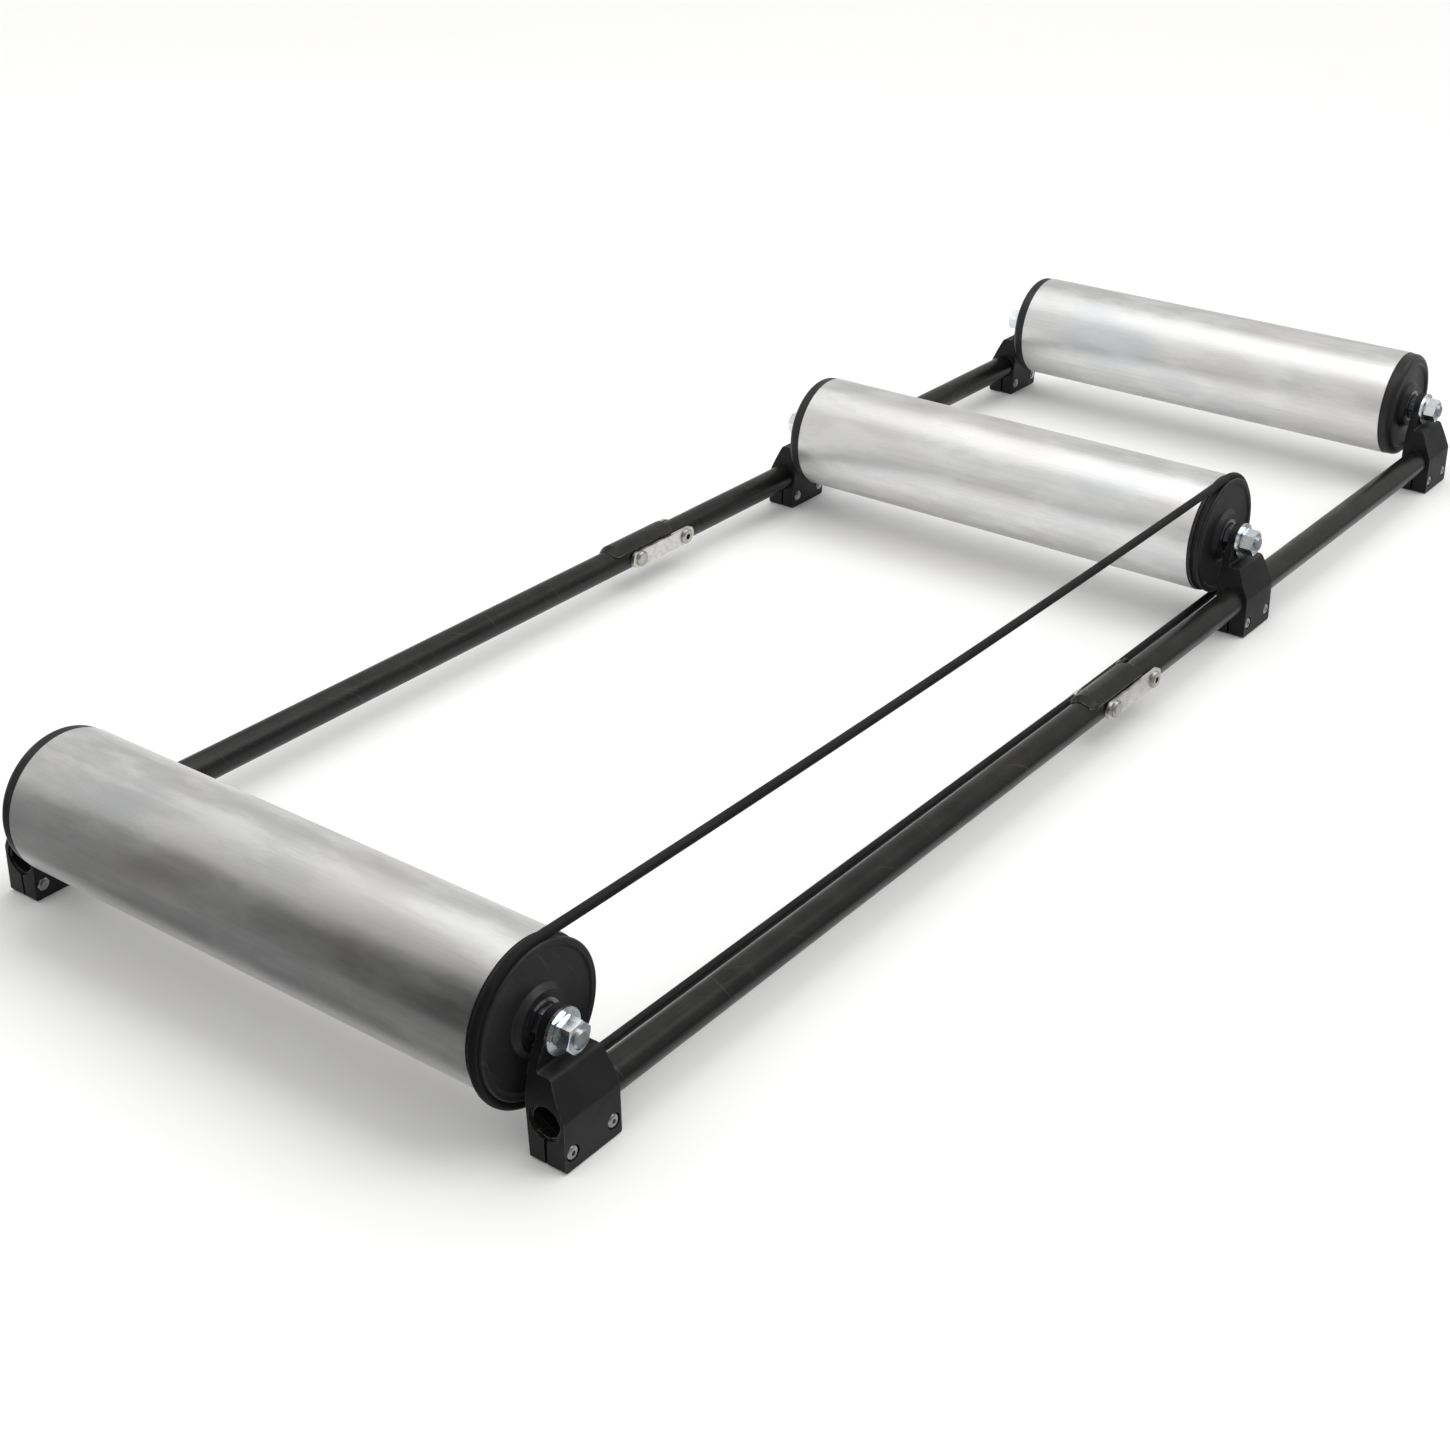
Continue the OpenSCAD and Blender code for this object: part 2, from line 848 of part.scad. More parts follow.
module middle_axle_washers() {
    color("lightsteelblue")
        axle_washers(middle_x);
}

module middle_axle_nuts() {
    color("lightsteelblue")
        axle_nuts(middle_x);
}

module rear_drum_tube() {
    color("silver")
        drum_tube(rear_x);
}

module rear_cap_left() {
    color("dimgray")
        on_axle(rear_x, LEFT)
            plain_cap();
}

module rear_cap_right() {
    color("dimgray")
        on_axle(rear_x, RIGHT)
            plain_cap();
}

module rear_bearing_outer_rings() {
    color("gainsboro")
        outer_rings(rear_x);
}

module rear_bearing_inner_rings() {
    color("gainsboro")
        inner_rings(rear_x);
}

module rear_bearing_balls() {
    color("white")
        bearing_balls(rear_x);
}

module rear_bearing_seals() {
    color("black")
        bearing_seals(rear_x);
}

module rear_axle() {
    color("silver")
        axle(rear_x);
}

module rear_lock_nuts() {
    color("lightsteelblue")
        lock_nuts(rear_x);
}

module rear_axle_washers() {
    color("lightsteelblue")
        axle_washers(rear_x);
}

module rear_axle_nuts() {
    color("lightsteelblue")
        axle_nuts(rear_x);
}

module front_bracket_left() {
    color("darkslategray")
        bracket(front_x, LEFT);
}

module front_bracket_right() {
    color("darkslategray")
        bracket(front_x, RIGHT);
}

module middle_bracket_left() {
    color("darkslategray")
        bracket(middle_x, LEFT);
}

module middle_bracket_right() {
    color("darkslategray")
        bracket(middle_x, RIGHT);
}

module rear_bracket_left() {
    color("darkslategray")
        bracket(rear_x, LEFT);
}

module rear_bracket_right() {
    color("darkslategray")
        bracket(rear_x, RIGHT);
}

module front_rail_left() {
    color("dimgray")
        rail(rail_front_end, joint_x - tube_gap / 2, pin_front_x, LEFT);
}

module front_rail_right() {
    color("dimgray")
        rail(rail_front_end, joint_x - tube_gap / 2, pin_front_x, RIGHT);
}

module rear_rail_left() {
    color("dimgray")
        rail(joint_x + tube_gap / 2, rail_rear_end, pin_rear_x, LEFT);
}

module rear_rail_right() {
    color("dimgray")
        rail(joint_x + tube_gap / 2, rail_rear_end, pin_rear_x, RIGHT);
}

module hinge_saddle_left() {
    color("gray")
        hinge_saddle(LEFT);
}

module hinge_saddle_right() {
    color("gray")
        hinge_saddle(RIGHT);
}

module left_link_outer() {
    color("lightgray")
        link_plate(LEFT, 1);
}

module left_link_inner() {
    color("lightgray")
        link_plate(LEFT, -1);
}

module right_link_outer() {
    color("lightgray")
        link_plate(RIGHT, 1);
}

module right_link_inner() {
    color("lightgray")
        link_plate(RIGHT, -1);
}

module front_hinge_pins() {
    color("gainsboro")
        for (side = [LEFT, RIGHT])
            hinge_pin(pin_front_x, side, 0);
}

module rear_hinge_pins() {
    color("gainsboro")
        for (side = [LEFT, RIGHT])
            hinge_pin(pin_rear_x, side, pin_bore);
}

module front_clamp_screws() {
    color("silver")
        for (side = [LEFT, RIGHT])
            clamp_screw(front_x, side);
}

module front_clamp_nuts() {
    color("silver")
        for (side = [LEFT, RIGHT])
            clamp_nut(front_x, side);
}

module rear_clamp_screws() {
    color("silver")
        for (x = [middle_x, rear_x], side = [LEFT, RIGHT])
            clamp_screw(x, side);
}

module rear_clamp_nuts() {
    color("silver")
        for (x = [middle_x, rear_x], side = [LEFT, RIGHT])
            clamp_nut(x, side);
}

module belt() {
    color("black")
        belt_loop();
}

module belt_joiner() {
    color("gainsboro")
        joiner_sleeve();
}

front_drum_tube();
front_cap_left();
front_cap_right();
front_bearing_outer_rings();
front_bearing_inner_rings();
front_bearing_balls();
front_bearing_seals();
front_axle();
front_lock_nuts();
front_axle_washers();
front_axle_nuts();
middle_drum_tube();
middle_cap_left();
middle_cap_right();
middle_bearing_outer_rings();
middle_bearing_inner_rings();
middle_bearing_balls();
middle_bearing_seals();
middle_axle();
middle_lock_nuts();
middle_axle_washers();
middle_axle_nuts();
rear_drum_tube();
rear_cap_left();
rear_cap_right();
rear_bearing_outer_rings();
rear_bearing_inner_rings();
rear_bearing_balls();
rear_bearing_seals();
rear_axle();
rear_lock_nuts();
rear_axle_washers();
rear_axle_nuts();
front_bracket_left();
front_bracket_right();
middle_bracket_left();
middle_bracket_right();
rear_bracket_left();
rear_bracket_right();
front_rail_left();
front_rail_right();
rear_rail_left();
rear_rail_right();
hinge_saddle_left();
hinge_saddle_right();
left_link_outer();
left_link_inner();
right_link_outer();
right_link_inner();
front_hinge_pins();
rear_hinge_pins();
front_clamp_screws();
front_clamp_nuts();
rear_clamp_screws();
rear_clamp_nuts();
belt();
belt_joiner();
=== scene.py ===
import json
import math

import bpy
from mathutils import Matrix, Vector


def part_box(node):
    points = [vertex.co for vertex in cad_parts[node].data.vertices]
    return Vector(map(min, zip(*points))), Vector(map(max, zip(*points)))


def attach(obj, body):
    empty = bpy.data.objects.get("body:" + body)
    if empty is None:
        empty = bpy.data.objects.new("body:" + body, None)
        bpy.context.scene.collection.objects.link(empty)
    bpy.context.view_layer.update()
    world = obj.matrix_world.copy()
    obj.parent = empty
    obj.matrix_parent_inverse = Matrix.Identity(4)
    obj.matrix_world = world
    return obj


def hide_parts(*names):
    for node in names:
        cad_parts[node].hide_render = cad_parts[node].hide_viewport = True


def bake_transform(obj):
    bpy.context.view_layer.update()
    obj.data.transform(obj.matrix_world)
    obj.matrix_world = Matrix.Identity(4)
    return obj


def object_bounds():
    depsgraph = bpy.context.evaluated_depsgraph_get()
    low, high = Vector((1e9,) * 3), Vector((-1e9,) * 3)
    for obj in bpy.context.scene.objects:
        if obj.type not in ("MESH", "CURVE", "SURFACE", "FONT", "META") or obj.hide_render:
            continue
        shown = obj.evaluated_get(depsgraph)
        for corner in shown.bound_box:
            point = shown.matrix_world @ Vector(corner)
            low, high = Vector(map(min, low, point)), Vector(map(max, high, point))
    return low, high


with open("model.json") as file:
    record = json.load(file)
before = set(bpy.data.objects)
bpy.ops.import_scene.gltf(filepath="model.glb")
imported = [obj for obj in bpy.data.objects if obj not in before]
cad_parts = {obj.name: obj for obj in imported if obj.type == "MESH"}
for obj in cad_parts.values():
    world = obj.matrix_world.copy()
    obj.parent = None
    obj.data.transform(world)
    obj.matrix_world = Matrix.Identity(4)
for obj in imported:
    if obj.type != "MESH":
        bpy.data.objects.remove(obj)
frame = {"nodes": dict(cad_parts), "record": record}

cad_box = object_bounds()
NODES = frame["nodes"]
MM = 0.001
DRUMS = ("front", "middle", "rear")


# Places read from the frame


def centre_of(node):
    low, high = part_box(node)
    return (low + high) / 2


AXLE_X = {drum: centre_of(f"{drum}_axle").x for drum in DRUMS}
AXLE_Z = centre_of("front_axle").z
PIN_FRONT_X = centre_of("front_hinge_pins").x
PIN_REAR_X = centre_of("rear_hinge_pins").x


# Node trees


class Tree:
    """Adds nodes to a node tree. An input is a plain value or another node's output."""

    def __init__(self, tree):
        self.tree = tree

    def put(self, socket, value):
        """Links a node's output to an input socket, or sets a plain value on it."""
        if isinstance(value, bpy.types.NodeSocket):
            self.tree.links.new(value, socket)
        else:
            socket.default_value = value

    def add(self, kind, inputs=None, **settings):
        node = self.tree.nodes.new("ShaderNode" + kind)
        for key, value in settings.items():
            setattr(node, key, value)
        for key, value in (inputs or {}).items():
            self.put(node.inputs[key], value)
        return node

    def maths(self, operation, first, second):
        return self.add("Math", {0: first, 1: second}, operation=operation).outputs[0]

    def remap(self, value, low, high, new_low=0.0, new_high=1.0):
        inputs = {
            "Value": value,
            "From Min": low,
            "From Max": high,
            "To Min": new_low,
            "To Max": new_high,
        }
        return self.add("MapRange", inputs, interpolation_type="SMOOTHSTEP").outputs["Result"]

    def mix_colour(self, share, first, second):
        """A colour between two, each three plain numbers or a node's output."""
        node = self.add("Mix", {"Factor": share}, data_type="RGBA")
        for index, colour in ((6, first), (7, second)):
            plain = isinstance(colour, tuple)
            self.put(node.inputs[index], (*colour, 1.0) if plain else colour)
        return node.outputs[2]

    def mix_value(self, share, first, second):
        node = self.add("Mix", {"Factor": share, "A": first, "B": second}, data_type="FLOAT")
        return node.outputs["Result"]

    def place(self):
        return self.add("TexCoord").outputs["Object"]

    def scaled(self, vector, scale):
        """A vector times a scale that is a node's output too."""
        node = self.add("VectorMath", {0: vector, 1: scale}, operation="MULTIPLY")
        return node.outputs["Vector"]

    def field(self, vector, detail=2.0, roughness=0.5):
        """Noise from 0 to 1 at a vector that counts in cells."""
        inputs = {"Vector": vector, "Scale": 1.0, "Detail": detail, "Roughness": roughness}
        return self.add("TexNoise", inputs).outputs["Fac"]

    def noise(self, scale, detail=2.0, roughness=0.5):
        """Noise over the piece, with a scale along each axis in cells a metre."""
        stretched = self.add("Mapping", {"Vector": self.place(), "Scale": scale})
        return self.field(stretched.outputs["Vector"], detail, roughness)


def new_group(name, inputs, outputs):
    """A shader node group with float inputs, whose Tree is returned with its ends."""
    group = bpy.data.node_groups.new(name, "ShaderNodeTree")
    for label, value in inputs.items():
        socket = group.interface.new_socket(label, in_out="INPUT", socket_type="NodeSocketFloat")
        socket.default_value = value
    for label in outputs:
        group.interface.new_socket(label, in_out="OUTPUT", socket_type="NodeSocketFloat")
    start = group.nodes.new("NodeGroupInput")
    end = group.nodes.new("NodeGroupOutput")
    return group, Tree(group), start.outputs, end.inputs


def scaled_axes(tree, along_x, along_y, along_z):
    return tree.add("CombineXYZ", {"X": along_x, "Y": along_y, "Z": along_z}).outputs["Vector"]


def make_scuffs():
    """Fine crossing scratches: long thin marks in two directions, broken up by patches."""
    group, tree, start, end = new_group("scuffs", {"Per Metre": 900.0, "Amount": 0.3}, ["Mask"])
    long_way = tree.maths("MULTIPLY", start["Per Metre"], 0.04)
    marks = []
    for turn in (0.5, -0.9):
        turns = (turn, turn * 0.7, turn)
        turned = tree.add("Mapping", {"Vector": tree.place(), "Rotation": turns})
        stretch = scaled_axes(tree, start["Per Metre"], long_way, long_way)
        vector = tree.scaled(turned.outputs["Vector"], stretch)
        marks.append(tree.remap(tree.field(vector, detail=1.0), 0.66, 0.76))
    patches = tree.remap(tree.noise((35, 35, 35)), 0.42, 0.65)
    both = tree.maths("MAXIMUM", marks[0], marks[1])
    masked = tree.maths("MULTIPLY", both, patches)
    tree.put(end["Mask"], tree.maths("MULTIPLY", masked, start["Amount"]))
    return group


def make_edge_wear():
    """Rubbed edges: where the bevelled normal leaves the true one, broken up by noise."""
    group, tree, start, end = new_group("edge_wear", {"Width": 0.6 * MM, "Amount": 0.5}, ["Mask"])
    normal = tree.add("NewGeometry").outputs["Normal"]
    rounded = tree.add("Bevel", {"Radius": start["Width"]}, samples=4).outputs["Normal"]
    same = tree.add("VectorMath", {0: normal, 1: rounded}, operation="DOT_PRODUCT").outputs["Value"]
    edge = tree.remap(same, 0.995, 0.86)
    broken = tree.remap(tree.noise((260, 260, 260), detail=3.0), 0.38, 0.62)
    masked = tree.maths("MULTIPLY", edge, broken)
    tree.put(end["Mask"], tree.maths("MULTIPLY", masked, start["Amount"]))
    return group


def make_settled_dust():
    """Pale dust that lies on faces turned upwards."""
    group, tree, start, end = new_group("settled_dust", {"Amount": 0.2}, ["Mask"])
    normal = tree.add("NewGeometry").outputs["Normal"]
    up = tree.remap(tree.add("SeparateXYZ", {0: normal}).outputs["Z"], 0.25, 1.0)
    clouds = tree.remap(tree.noise((45, 45, 45), detail=4.0), 0.35, 0.7)
    specks = tree.remap(tree.noise((1400, 1400, 1400)), 0.62, 0.72)
    cloud_share = tree.maths("MULTIPLY", clouds, 0.6)
    speck_share = tree.maths("MULTIPLY", specks, 0.4)
    cover = tree.maths("ADD", cloud_share, speck_share)
    masked = tree.maths("MULTIPLY", up, cover)
    tree.put(end["Mask"], tree.maths("MULTIPLY", masked, start["Amount"]))
    return group


def make_surface_grain():
    """Fine grain, as on moulded plastic and powder coat, with a broader unevenness."""
    group, tree, start, end = new_group(
        "surface_grain", {"Per Metre": 1500.0, "Waviness": 0.3}, ["Height", "Patches"]
    )
    scale = scaled_axes(tree, start["Per Metre"], start["Per Metre"], start["Per Metre"])
    fine = tree.field(tree.scaled(tree.place(), scale))
    broad = tree.noise((120, 120, 120), detail=2.0)
    height = tree.maths("ADD", fine, tree.maths("MULTIPLY", broad, start["Waviness"]))
    tree.put(end["Height"], height)
    tree.put(end["Patches"], tree.noise((28, 28, 28), detail=3.0))
    return group


def make_tube_marks():
    """Marks of a tube whose axis is along Y: drawn lines, turned rings and soft blotches."""
    group, tree, start, end = new_group(
        "tube_marks", {"Drawn": 700.0, "Turned": 1500.0}, ["Lines", "Rings", "Blotches", "Tint"]
    )
    drawn = scaled_axes(tree, start["Drawn"], 5.0, start["Drawn"])
    turned = scaled_axes(tree, 8.0, start["Turned"], 8.0)
    tree.put(end["Lines"], tree.field(tree.scaled(tree.place(), drawn), detail=3.0))
    tree.put(end["Rings"], tree.field(tree.scaled(tree.place(), turned)))
    tree.put(end["Blotches"], tree.noise((60, 17, 60), detail=5.0, roughness=0.6))
    tree.put(end["Tint"], tree.noise((17, 7, 23)))
    return group


SCUFFS = make_scuffs()
EDGE_WEAR = make_edge_wear()
DUST = make_settled_dust()
GRAIN = make_surface_grain()
TUBE_MARKS = make_tube_marks()


class Finish(Tree):
    """A material with one Principled shader, whose sockets are set plainly or linked."""

    def __init__(self, name, **sockets):
        self.material = bpy.data.materials.new(name)
        self.material.use_nodes = True
        super().__init__(self.material.node_tree)
        self.tree.nodes.clear()
        self.shader = self.add("BsdfPrincipled")
        output = self.add("OutputMaterial")
        self.tree.links.new(self.shader.outputs["BSDF"], output.inputs["Surface"])
        for label, value in sockets.items():
            self.shader.inputs[label.replace("_", " ")].default_value = value

    def group(self, tree, **inputs):
        node = self.add("Group", node_tree=tree)
        for label, value in inputs.items():
            node.inputs[label.replace("_", " ")].default_value = value
        return node.outputs

    def feed(self, label, output):
        self.put(self.shader.inputs[label], output)

    def bump(self, *layers):
        """Bump layers, each a height, its strength and its depth in metres."""
        normal = None
        for height, strength, depth in layers:
            inputs = {"Height": height, "Strength": strength, "Distance": depth}
            if normal is not None:
                inputs["Normal"] = normal
            normal = self.add("Bump", inputs).outputs["Normal"]
        self.feed("Normal", normal)


def drawn_aluminium():
    look = Finish("drawn_aluminium", Metallic=1.0)
    marks = look.group(TUBE_MARKS, Drawn=620.0, Turned=1600.0)
    scuffs = look.group(SCUFFS, Per_Metre=700.0, Amount=0.2)["Mask"]
    lines = look.remap(marks["Lines"], 0.3, 0.7)
    pale = look.remap(marks["Blotches"], 0.42, 0.62, 0.0, 0.75)
    warm = look.remap(marks["Tint"], 0.5, 0.7, 0.0, 0.4)
    cool = look.remap(marks["Tint"], 0.46, 0.3, 0.0, 0.4)
    tone = look.mix_colour(lines, (0.645, 0.643, 0.641), (0.69, 0.69, 0.69))
    tone = look.mix_colour(pale, tone, (0.79, 0.789, 0.787))
    tone = look.mix_colour(warm, tone, (0.63, 0.605, 0.575))
    tone = look.mix_colour(cool, tone, (0.55, 0.57, 0.61))
    tone = look.mix_colour(scuffs, tone, (0.85, 0.85, 0.85))
    look.feed("Base Color", tone)
    rough = look.remap(marks["Blotches"], 0.3, 0.7, 0.34, 0.46)
    rough = look.maths("ADD", rough, look.remap(marks["Rings"], 0.3, 0.7, -0.02, 0.02))
    look.feed("Roughness", rough)
    look.bump(
        (marks["Lines"], 0.07, 0.04 * MM),
        (marks["Rings"], 0.08, 0.03 * MM),
        (marks["Blotches"], 0.5, 0.4 * MM),
    )
    return look.material


def moulded_cap():
    look = Finish("moulded_cap", Specular_IOR_Level=0.32)
    grain = look.group(GRAIN, Per_Metre=2200.0, Waviness=0.5)
    wear = look.group(EDGE_WEAR, Width=0.6 * MM, Amount=0.55)["Mask"]
    dust = look.group(DUST, Amount=0.10)["Mask"]
    scuffs = look.group(SCUFFS, Per_Metre=600.0, Amount=0.15)["Mask"]
    tone = look.mix_colour(grain["Patches"], (0.007, 0.007, 0.0075), (0.013, 0.013, 0.0135))
    tone = look.mix_colour(look.maths("MAXIMUM", wear, scuffs), tone, (0.10, 0.10, 0.10))
    tone = look.mix_colour(dust, tone, (0.34, 0.33, 0.31))
    look.feed("Base Color", tone)
    rough = look.remap(grain["Patches"], 0.3, 0.7, 0.36, 0.50)
    look.feed("Roughness", look.mix_value(wear, rough, 0.62))
    look.bump((grain["Height"], 0.25, 0.1 * MM))
    return look.material


def moulded_bracket():
    look = Finish("moulded_bracket", Specular_IOR_Level=0.22)
    grain = look.group(GRAIN, Per_Metre=1300.0, Waviness=0.35)
    wear = look.group(EDGE_WEAR, Width=0.8 * MM, Amount=0.7)["Mask"]
    dust = look.group(DUST, Amount=0.12)["Mask"]
    tone = look.mix_colour(grain["Patches"], (0.004, 0.004, 0.0045), (0.009, 0.009, 0.0095))
    tone = look.mix_colour(wear, tone, (0.09, 0.09, 0.092))
    tone = look.mix_colour(dust, tone, (0.34, 0.33, 0.31))
    look.feed("Base Color", tone)
    rough = look.remap(grain["Patches"], 0.3, 0.7, 0.44, 0.58)
    look.feed("Roughness", look.mix_value(wear, rough, 0.7))
    look.bump((grain["Height"], 0.5, 0.15 * MM))
    return look.material


def powder_coat():
    look = Finish("powder_coat", Specular_IOR_Level=0.24)
    grain = look.group(GRAIN, Per_Metre=650.0, Waviness=0.8)
    wear = look.group(EDGE_WEAR, Width=0.6 * MM, Amount=0.8)["Mask"]
    scuffs = look.group(SCUFFS, Per_Metre=500.0, Amount=0.2)["Mask"]
    dust = look.group(DUST, Amount=0.05)["Mask"]
    tone = look.mix_colour(grain["Patches"], (0.0035, 0.0034, 0.0032), (0.008, 0.0076, 0.0072))
    tone = look.mix_colour(scuffs, tone, (0.09, 0.085, 0.08))
    tone = look.mix_colour(dust, tone, (0.30, 0.28, 0.26))
    tone = look.mix_colour(wear, tone, (0.30, 0.30, 0.30))
    look.feed("Base Color", tone)
    look.feed("Roughness", look.remap(grain["Patches"], 0.3, 0.7, 0.26, 0.36))
    look.bump((grain["Height"], 0.18, 0.2 * MM))
    return look.material


def plated(name, tones, rough, lines, grain):
    """Bright plated steel with cloudy passivation, tool lines and rubbed edges. The lines and
    the grain are given in cells a metre."""
    look = Finish(name, Metallic=1.0)
    grain = look.group(GRAIN, Per_Metre=grain, Waviness=0.4)
    scuffs = look.group(SCUFFS, Per_Metre=1500.0, Amount=0.4)["Mask"]
    wear = look.group(EDGE_WEAR, Width=0.5 * MM, Amount=0.6)["Mask"]
    cloud = look.noise((110, 110, 110), detail=3.0, roughness=0.6)
    tone = look.mix_colour(look.remap(cloud, 0.35, 0.65), *tones)
    tone = look.mix_colour(look.maths("MAXIMUM", scuffs, wear), tone, (0.92, 0.92, 0.92))
    look.feed("Base Color", tone)
    streaks = look.noise(lines)
    level = look.remap(cloud, 0.3, 0.7, *rough)
    look.feed("Roughness", look.maths("ADD", level, look.remap(streaks, 0.3, 0.7, -0.04, 0.04)))
    look.bump((streaks, 0.25, 0.06 * MM), (grain["Height"], 0.15, 0.05 * MM))
    return look.material


def belt_side_link():
    """The link plate beside the belt, near black and duller than the other link plates."""
    look = Finish("belt_side_link", Specular_IOR_Level=0.25)
    grain = look.group(GRAIN, Per_Metre=1600.0, Waviness=0.6)
    wear = look.group(EDGE_WEAR, Width=0.5 * MM, Amount=0.15)["Mask"]
    patches = look.remap(grain["Patches"], 0.3, 0.7)
    tone = look.mix_colour(patches, (0.012, 0.012, 0.011), (0.03, 0.029, 0.027))
    look.feed("Base Color", look.mix_colour(wear, tone, (0.30, 0.30, 0.29)))
    look.feed("Roughness", look.remap(grain["Patches"], 0.3, 0.7, 0.45, 0.6))
    look.bump((grain["Height"], 0.3, 0.1 * MM))
    return look.material


def threaded_rod():
    look = Finish("threaded_rod", Metallic=1.0)
    cloud = look.noise((90, 90, 90), detail=3.0)
    tone = look.mix_colour(look.remap(cloud, 0.35, 0.65), (0.30, 0.33, 0.36), (0.50, 0.52, 0.53))
    look.feed("Base Color", tone)
    look.feed("Roughness", look.remap(cloud, 0.3, 0.7, 0.22, 0.38))
    look.bump((look.noise((300, 2200, 300), detail=1.0), 0.3, 0.08 * MM))
    return look.material


def drive_belt():
    look = Finish("drive_belt", Specular_IOR_Level=0.16)
    grain = look.group(GRAIN, Per_Metre=1800.0, Waviness=0.4)
    dust = look.group(DUST, Amount=0.04)["Mask"]
    tone = look.mix_colour(grain["Patches"], (0.0035, 0.0035, 0.0037), (0.007, 0.007, 0.0073))
    tone = look.mix_colour(dust, tone, (0.25, 0.25, 0.25))
    look.feed("Base Color", tone)
    look.feed("Roughness", look.remap(grain["Patches"], 0.3, 0.7, 0.42, 0.58))
    look.bump((grain["Height"], 0.3, 0.1 * MM))
    return look.material


def seal_rubber():
    look = Finish("seal_rubber")
    grain = look.group(GRAIN, Per_Metre=2500.0, Waviness=0.3)
    tone = look.mix_colour(grain["Patches"], (0.012, 0.012, 0.012), (0.022, 0.021, 0.02))
    look.feed("Base Color", tone)
    look.feed("Roughness", look.remap(grain["Patches"], 0.3, 0.7, 0.5, 0.65))
    look.bump((grain["Height"], 0.3, 0.1 * MM))
    return look.material


FINISHES = {
    "drum_aluminium": drawn_aluminium(),
    "cap_plastic": moulded_cap(),
    "bracket_plastic": moulded_bracket(),
    "rail_paint": powder_coat(),
    "bearing_steel": plated(
        "ground_ring",
        tones=((0.24, 0.24, 0.26), (0.36, 0.36, 0.38)),
        rough=(0.26, 0.38),
        lines=(60, 900, 60),
        grain=2500.0,
    ),
    "ball_steel": plated(
        "polished_ball",
        tones=((0.70, 0.70, 0.70), (0.80, 0.80, 0.80)),
        rough=(0.08, 0.14),
        lines=(300, 300, 300),
        grain=3000.0,
    ),
    "zinc_fasteners": plated(
        "bright_zinc",
        tones=((0.62, 0.69, 0.77), (0.84, 0.85, 0.84)),
        rough=(0.16, 0.30),
        lines=(500, 120, 500),
        grain=2600.0,
    ),
    "axle_steel": threaded_rod(),
    "link_steel": plated(
        "satin_link",
        tones=((0.50, 0.49, 0.47), (0.68, 0.67, 0.65)),
        rough=(0.30, 0.42),
        lines=(60, 1400, 1400),
        grain=2000.0,
    ),
    "screw_steel": plated(
        "zinc_screw",
        tones=((0.26, 0.27, 0.28), (0.42, 0.43, 0.44)),
        rough=(0.28, 0.40),
        lines=(900, 200, 900),
        grain=2500.0,
    ),
    "belt_rubber": drive_belt(),
    "seal_rubber": seal_rubber(),
    "joiner_metal": plated(
        "crimped_joiner",
        tones=((0.72, 0.72, 0.71), (0.88, 0.88, 0.87)),
        rough=(0.20, 0.34),
        lines=(200, 900, 900),
        grain=2200.0,
    ),
}

# A darker copy of the bright zinc for the lock nuts: painted shade for the hub's recess, where they
# sit.
PAINTED_SHADE_NUT = plated(
    "painted_shade_nut",
    tones=((0.20, 0.21, 0.24), (0.36, 0.37, 0.40)),
    rough=(0.24, 0.36),
    lines=(500, 120, 500),
    grain=2600.0,
)
# Pin heads darker than the link steel: painted shade on the pin ends.
PIN_HEAD = plated(
    "pin_head",
    tones=((0.34, 0.33, 0.31), (0.50, 0.49, 0.47)),
    rough=(0.28, 0.40),
    lines=(300, 900, 300),
    grain=2400.0,
)

# Pieces that look unlike the others of their material
ODD_FINISHES = {
    "right_link_inner": belt_side_link(),
    "front_hinge_pins": PIN_HEAD,
    "rear_hinge_pins": PIN_HEAD,
    "front_lock_nuts": PAINTED_SHADE_NUT,
    "middle_lock_nuts": PAINTED_SHADE_NUT,
    "rear_lock_nuts": PAINTED_SHADE_NUT,
}


# Radii of the edges that the solids leave sharp
EDGE_RADII = {
    "bracket_plastic": 0.7 * MM,
    "cap_plastic": 0.3 * MM,
    "zinc_fasteners": 0.25 * MM,
    "link_steel": 0.4 * MM,
    "screw_steel": 0.2 * MM,
    "rail_paint": 0.3 * MM,
    "drum_aluminium": 0.4 * MM,
}
FLAT_ANGLE = math.radians(1.5)
EDGE_ANGLE = math.radians(32)
SMOOTH_ANGLE = math.radians(35)


def soften_edges(piece, radius):
    """Joins flat triangles, then rounds the edges that are left sharp."""
    joined = piece.modifiers.new("flat_faces", "DECIMATE")
    joined.decimate_type = "DISSOLVE"
    joined.angle_limit = FLAT_ANGLE
    bevel = piece.modifiers.new("rounded_edges", "BEVEL")
    bevel.width = radius
    bevel.segments = 2
    bevel.limit_method = "ANGLE"
    bevel.angle_limit = EDGE_ANGLE
    bevel.use_clamp_overlap = True


def dress_frame():
    """Gives each CAD node the finish of its material slot."""
    slots = {row["node"]: row["material_slot"] for row in frame["record"]["subparts"]}
    for name, piece in NODES.items():
        slot = slots[name]
        piece.data.materials.clear()
        piece.data.materials.append(FINISHES[slot])
        piece.data.shade_smooth()
        piece.data.set_sharp_from_angle(angle=SMOOTH_ANGLE)
        if slot in EDGE_RADII:
            soften_edges(piece, EDGE_RADII[slot])
    for name, finish in ODD_FINISHES.items():
        NODES[name].data.materials.clear()
        NODES[name].data.materials.append(finish)
